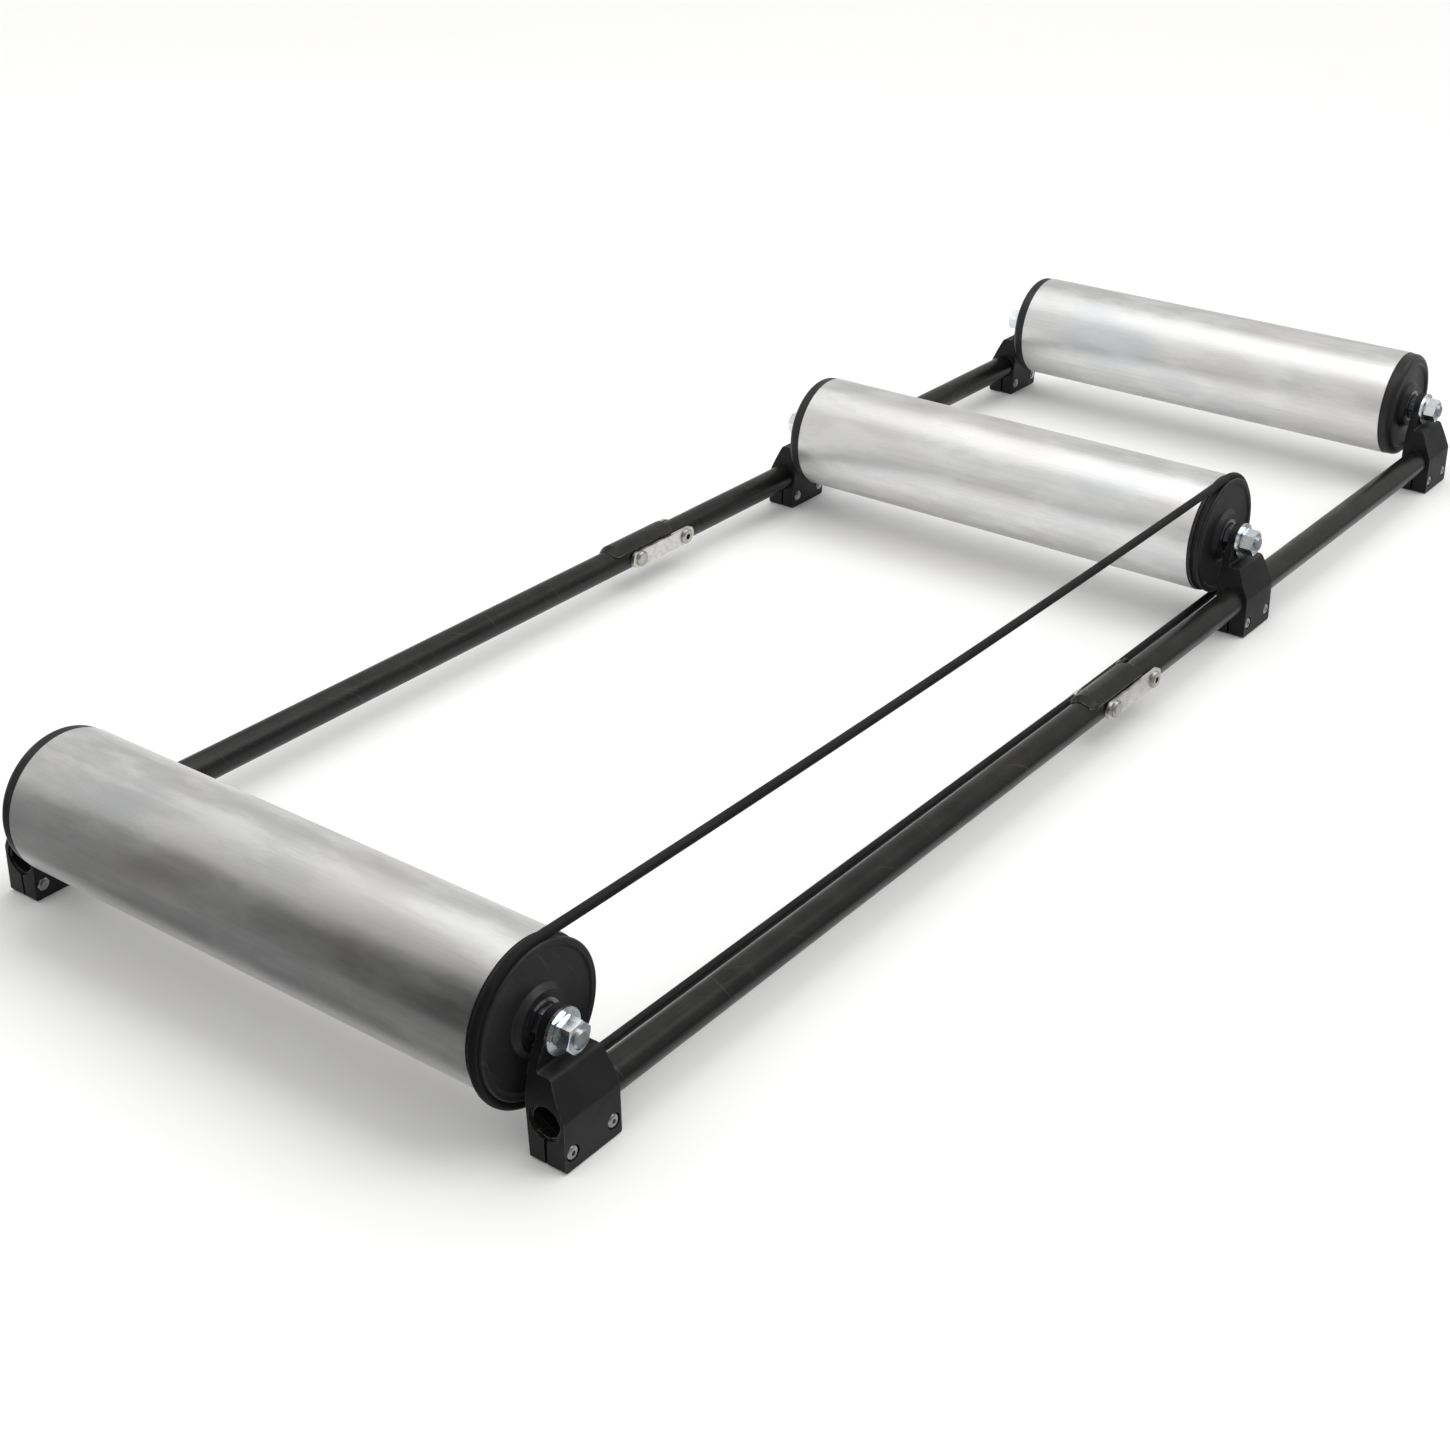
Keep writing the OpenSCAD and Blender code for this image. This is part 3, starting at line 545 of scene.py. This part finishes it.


# The belt: one loop cut at its joiner and behind each pulley into four parts

BELT_LOW, BELT_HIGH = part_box("belt")
BELT_R = (BELT_HIGH.y - BELT_LOW.y) / 2
BELT_Y = (BELT_HIGH.y + BELT_LOW.y) / 2
BELT_LINE_R = BELT_HIGH.z - AXLE_Z - BELT_R
UPPER_SAG = 3.5 * MM
BELT_SLACK = 4.8 * MM
JOINER = centre_of("belt_joiner")
BELT_SIDES = 20
RUN_STEP = 12 * MM
BEND_RINGS = 36
PULLEY_STEP = math.radians(4)

# Each half of the loop: its pulley, the way from there to the joiner, the bodies that it
# joins, and where its upper and lower runs bend. Ahead of the joiner the lower bend stops.
BELT_HALVES = {
    "front": (
        AXLE_X["front"],
        1,
        ("front_frame", "fold_links"),
        (PIN_FRONT_X - 5 * MM, PIN_FRONT_X + 5 * MM),
        (PIN_FRONT_X - 22 * MM, PIN_FRONT_X + 12 * MM),
    ),
    "rear": (
        AXLE_X["middle"],
        -1,
        ("fold_links", "rear_frame"),
        (PIN_REAR_X - 5 * MM, PIN_REAR_X + 5 * MM),
        (PIN_REAR_X - 19 * MM, PIN_REAR_X + 19 * MM),
    ),
}


def upper_run():
    """Height of the upper run at a distance x, and its slope where it meets a pulley."""
    half = (AXLE_X["middle"] - AXLE_X["front"]) / 2
    middle = AXLE_X["front"] + half
    reach = (half * half + UPPER_SAG * UPPER_SAG) / (2 * UPPER_SAG)
    arc_r = reach - BELT_LINE_R
    lowest = AXLE_Z + BELT_LINE_R - UPPER_SAG

    def height(x):
        return lowest + arc_r - math.sqrt(arc_r**2 - (x - middle) ** 2)

    return height, math.asin(half / reach)


def slack_bend(pulley_x):
    """Where the belt leaves the slack bend under a pulley for the joiner: the distance from
    the axle towards the joiner, the height and the angle of the bend there."""
    slack_r = BELT_LINE_R + BELT_SLACK
    across = BELT_SLACK - abs(JOINER.x - pulley_x)
    up = AXLE_Z - JOINER.z
    away = math.hypot(across, up)
    direction = math.atan2(up, across) + math.asin(slack_r / away)
    length = math.sqrt(away**2 - slack_r**2)
    inward = abs(JOINER.x - pulley_x) + length * math.cos(direction)
    return inward, JOINER.z + length * math.sin(direction), direction + math.pi / 2


def lower_run(x):
    """Height of the lower run at a distance x: two straight legs that meet at the joiner."""
    pulley_x, toward = (AXLE_X["front"], 1) if x < JOINER.x else (AXLE_X["middle"], -1)
    inward, height, _ = slack_bend(pulley_x)
    touch_x = pulley_x + toward * inward
    return JOINER.z + (height - JOINER.z) * (x - JOINER.x) / (touch_x - JOINER.x)


def run_places(start, end, bend):
    """Distances along a run, close together where the belt bends over the fold."""
    bend_step = (bend[1] - bend[0]) / BEND_RINGS
    stops = sorted([start, end, *bend], reverse=start > end)
    places = [start]
    for near, far in zip(stops, stops[1:]):
        in_bend = bend[0] < (near + far) / 2 < bend[1]
        places += steps_between(near, far, bend_step if in_bend else RUN_STEP)[1:]
    return places


def steps_between(start, end, step):
    count = max(1, math.ceil(abs(end - start) / step))
    return [start + (end - start) * i / count for i in range(count + 1)]


def belt_half_path(pulley_x, inside, upper_bend, lower_bend):
    """Points of half the loop, from above the joiner round a pulley and back to the joiner,
    and how many of them come before the one behind the pulley."""
    upper, slope = upper_run()
    leave = math.pi / 2 - slope
    inward, _, slack_end = slack_bend(pulley_x)
    touch_top = pulley_x + inside * BELT_LINE_R * math.cos(leave)
    path = [(x, upper(x)) for x in run_places(JOINER.x, touch_top, upper_bend)]
    for angle in steps_between(leave, math.pi, PULLEY_STEP)[1:]:
        x = pulley_x + inside * BELT_LINE_R * math.cos(angle)
        path.append((x, AXLE_Z + BELT_LINE_R * math.sin(angle)))
    behind_pulley = len(path) - 1
    slack_r = BELT_LINE_R + BELT_SLACK
    for angle in steps_between(math.pi, slack_end, PULLEY_STEP)[1:]:
        x = pulley_x + inside * (BELT_SLACK + slack_r * math.cos(angle))
        path.append((x, AXLE_Z + slack_r * math.sin(angle)))
    touch_bottom = pulley_x + inside * inward
    path += [(x, lower_run(x)) for x in run_places(touch_bottom, JOINER.x, lower_bend)[1:]]
    return path, behind_pulley


def sweep(name, path, first, last, radius, sides, material):
    """A round tube along part of a path in the plane of the belt, closed at both ends."""
    points = [Vector((x, BELT_Y, z)) for x, z in path]
    vertices = []
    for i in range(first, last + 1):
        ahead = points[min(i + 1, len(points) - 1)]
        behind = points[max(i - 1, 0)]
        along = (ahead - behind).normalized()
        across = Vector((0, 1, 0))
        up = along.cross(across)
        for k in range(sides):
            turn = 2 * math.pi * k / sides
            vertices.append(points[i] + radius * (math.cos(turn) * across + math.sin(turn) * up))
    faces = []
    for i in range(last - first):
        for k in range(sides):
            a = i * sides + k
            b = i * sides + (k + 1) % sides
            faces.append((a, b, b + sides, a + sides))
    faces.append(tuple(reversed(range(sides))))
    faces.append(tuple(range(len(vertices) - sides, len(vertices))))
    mesh = bpy.data.meshes.new(name)
    mesh.from_pydata(vertices, [], faces)
    mesh.materials.append(material)
    mesh.shade_smooth()
    mesh.set_sharp_from_angle(angle=SMOOTH_ANGLE)
    piece = bpy.data.objects.new(name, mesh)
    bpy.context.scene.collection.objects.link(piece)
    return piece


def make_belt_part(name, path, first, last):
    """Part of the belt, swept along part of a half's path, in place of the CAD belt."""
    piece = sweep(name, path, first, last, BELT_R, BELT_SIDES, FINISHES["belt_rubber"])
    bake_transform(piece)
    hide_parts("belt")


def make_belt():
    for half, (pulley_x, inside, bodies, upper_bend, lower_bend) in BELT_HALVES.items():
        path, behind_pulley = belt_half_path(pulley_x, inside, upper_bend, lower_bend)
        last = len(path) - 1
        make_belt_part(f"belt_{half}_upper", path, 0, behind_pulley)
        make_belt_part(f"belt_{half}_lower", path, behind_pulley, last)


# Floor, light and camera

FLOOR_SIZE = 30.0
FLOOR_DROP = 0.3 * MM

OVERHEAD_PLACE = Vector((0.12, 0.30, 1.55))
OVERHEAD_AIM = Vector((0.12, 0.20, 0.05))
OVERHEAD_SIZE = 1.4
OVERHEAD_RADIANCE = 1.05

SUN_DIRECTION = Vector((-0.5, 0.7, -1.1))
SUN_STRENGTH = 0.8
SUN_SPREAD = math.radians(40)

# Dark cards that are seen only in reflections, painted reflections of darker surroundings and, for
# the side card, of the floor's shade beside the frame: the corners and the tone of each
CARDS = {
    "floor_card": (
        [(-3, -2.5, 0.001), (-0.665, -2.5, 0.001), (-0.665, 3, 0.001), (-3, 3, 0.001)],
        0.20,
    ),
    # Painted reflection of the floor's shade beside the frame
    "side_card": (
        [(-0.62, -1.6, 0.0012), (1.3, -1.6, 0.0012), (1.3, -0.27, 0.0012), (-0.62, -0.27, 0.0012)],
        0.26,
    ),
    "right_wall_card": (
        [(-0.85, -0.40, 0.03), (-0.85, 0.07, 0.03), (-0.85, 0.07, 0.46), (-0.85, -0.40, 0.85)],
        0.02,
    ),
    "left_wall_card": (
        [(-0.85, 0.07, 0.03), (-0.85, 0.42, 0.03), (-0.85, 0.42, 0.28), (-0.85, 0.07, 0.33)],
        0.16,
    ),
}

# Brighter and darker parts of the room in reflections: the way to each, the cosines of the
# angles from it where it begins and is full, and how much it adds
ROOM_LEVEL = 0.70
ROOM_PARTS = {
    "overhead": ((-0.1, 0.45, 0.9), 0.35, 0.98, 0.12),
    "camera_side": ((-0.5, -0.85, 0.0), 0.15, 0.9, -0.35),
    "left_side": ((0.1, 0.85, 0.42), 0.60, 0.92, -0.20),
    "front_left": ((-0.8, 0.45, 0.35), 0.88, 0.99, 0.20),
}
ROOM_LIGHT = 0.88
BACKDROP = 1.0
WARM_WHITE = (1.0, 0.995, 0.985, 1.0)

# The camera's place from the front axle's middle line, and its turns in radians
CAMERA_BACK = 719.79 * MM
CAMERA_SIDE = -848.12 * MM
CAMERA_UP = 762.74 * MM
CAMERA_YAW = 0.63531
CAMERA_PITCH = 0.48729
CAMERA_ROLL = 0.011527
CAMERA_LENS = 54.85


def make_floor():
    mesh = bpy.data.meshes.new("floor")
    half = FLOOR_SIZE / 2
    corners = [(-half, -half, 0), (half, -half, 0), (half, half, 0), (-half, half, 0)]
    mesh.from_pydata(corners, [], [(0, 1, 2, 3)])
    look = Finish("pale_floor", Specular_IOR_Level=0.2)
    cloud = look.noise((1.5, 1.5, 1.5), detail=3.0)
    look.feed("Base Color", look.mix_colour(cloud, (0.90, 0.90, 0.90), (0.92, 0.92, 0.92)))
    look.feed("Roughness", look.remap(cloud, 0.3, 0.7, 0.75, 0.85))
    mesh.materials.append(look.material)
    floor = bpy.data.objects.new("floor", mesh)
    bpy.context.scene.collection.objects.link(floor)
    floor.location.z = -FLOOR_DROP
    return floor


def lower_floor_under_fold(floor):
    """The front frame folds in under the rear one, so the floor gives way below it."""
    low, high = cad_box
    for drum_top in (low.z, high.z):
        for x in (low.x, AXLE_X["front"]):
            corner = bpy.data.objects.new("front_reach", None)
            bpy.context.scene.collection.objects.link(corner)
            corner.location = (x, 0, drum_top)
            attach(corner, "front_frame")
            limit = floor.constraints.new("FLOOR")
            limit.target = corner
            limit.floor_location = "FLOOR_NEGATIVE_Z"
            limit.offset = FLOOR_DROP


def place_light(data, direction):
    light = bpy.data.objects.new(data.name, data)
    bpy.context.scene.collection.objects.link(light)
    light.rotation_euler = direction.to_track_quat("-Z", "Y").to_euler()
    return light


def make_overhead_box():
    """A large soft box over the drums."""
    data = bpy.data.lights.new("overhead_box", "AREA")
    data.shape = "SQUARE"
    data.size = OVERHEAD_SIZE
    data.energy = OVERHEAD_RADIANCE * math.pi * OVERHEAD_SIZE * OVERHEAD_SIZE
    light = place_light(data, OVERHEAD_AIM - OVERHEAD_PLACE)
    light.location = OVERHEAD_PLACE
    light.visible_camera = False


def make_sun():
    """A broad light from the camera's right, which whitens the floor."""
    data = bpy.data.lights.new("side_light", "SUN")
    data.energy = SUN_STRENGTH
    data.angle = SUN_SPREAD
    place_light(data, SUN_DIRECTION)


def reflected_card(name, corners, tone):
    mesh = bpy.data.meshes.new(name)
    mesh.from_pydata(corners, [], [(0, 1, 2, 3)])
    look = Finish(name, Roughness=1.0, Specular_IOR_Level=0.0)
    look.shader.inputs["Base Color"].default_value = (tone, tone, tone, 1.0)
    mesh.materials.append(look.material)
    card = bpy.data.objects.new(name, mesh)
    bpy.context.scene.collection.objects.link(card)
    card.visible_camera = False
    card.visible_diffuse = False
    card.visible_shadow = False


def make_world():
    """Pale all round, brighter overhead and darker low down on the camera's side."""
    world = bpy.data.worlds.new("studio")
    bpy.context.scene.world = world
    world.use_nodes = True
    world.node_tree.nodes.clear()
    tree = Tree(world.node_tree)
    direction = tree.add("TexCoord").outputs["Generated"]
    level = ROOM_LEVEL
    for way, begins, full, amount in ROOM_PARTS.values():
        aim = tuple(Vector(way).normalized())
        dot = tree.add("VectorMath", {0: direction, 1: aim}, operation="DOT_PRODUCT")
        share = tree.remap(dot.outputs["Value"], begins, full)
        level = tree.maths("ADD", level, tree.maths("MULTIPLY", share, amount))
    ray = tree.add("LightPath").outputs
    mirrored = tree.mix_value(ray["Is Glossy Ray"], ROOM_LIGHT, level)
    strength = tree.mix_value(ray["Is Camera Ray"], mirrored, BACKDROP)
    background = tree.add("Background", {"Color": WARM_WHITE, "Strength": strength})
    tree.add("OutputWorld", {"Surface": background.outputs["Background"]})


def make_camera():
    data = bpy.data.cameras.new("camera")
    data.lens = CAMERA_LENS
    data.sensor_width = 36.0
    data.clip_start = 0.01
    data.clip_end = 100.0
    camera = bpy.data.objects.new("camera", data)
    bpy.context.scene.collection.objects.link(camera)
    forward = Vector(
        (
            math.cos(CAMERA_PITCH) * math.cos(CAMERA_YAW),
            math.cos(CAMERA_PITCH) * math.sin(CAMERA_YAW),
            -math.sin(CAMERA_PITCH),
        )
    )
    level_right = forward.cross(Vector((0, 0, 1))).normalized()
    level_up = level_right.cross(forward)
    right = math.cos(CAMERA_ROLL) * level_right + math.sin(CAMERA_ROLL) * level_up
    up = math.cos(CAMERA_ROLL) * level_up - math.sin(CAMERA_ROLL) * level_right
    place = Vector((AXLE_X["front"] - CAMERA_BACK, CAMERA_SIDE, CAMERA_UP))
    camera.matrix_world = camera_matrix(place, right, up, forward)
    bpy.context.scene.camera = camera


def camera_matrix(place, right, up, forward):
    rows = [[right[i], up[i], -forward[i], place[i]] for i in range(3)]
    return Matrix(rows + [[0, 0, 0, 1]])


dress_frame()
make_belt()
lower_floor_under_fold(make_floor())
make_world()
make_overhead_box()
make_sun()
for card, (card_corners, card_tone) in CARDS.items():
    reflected_card(card, card_corners, card_tone)
make_camera()
bpy.context.scene.view_settings.view_transform = "Standard"
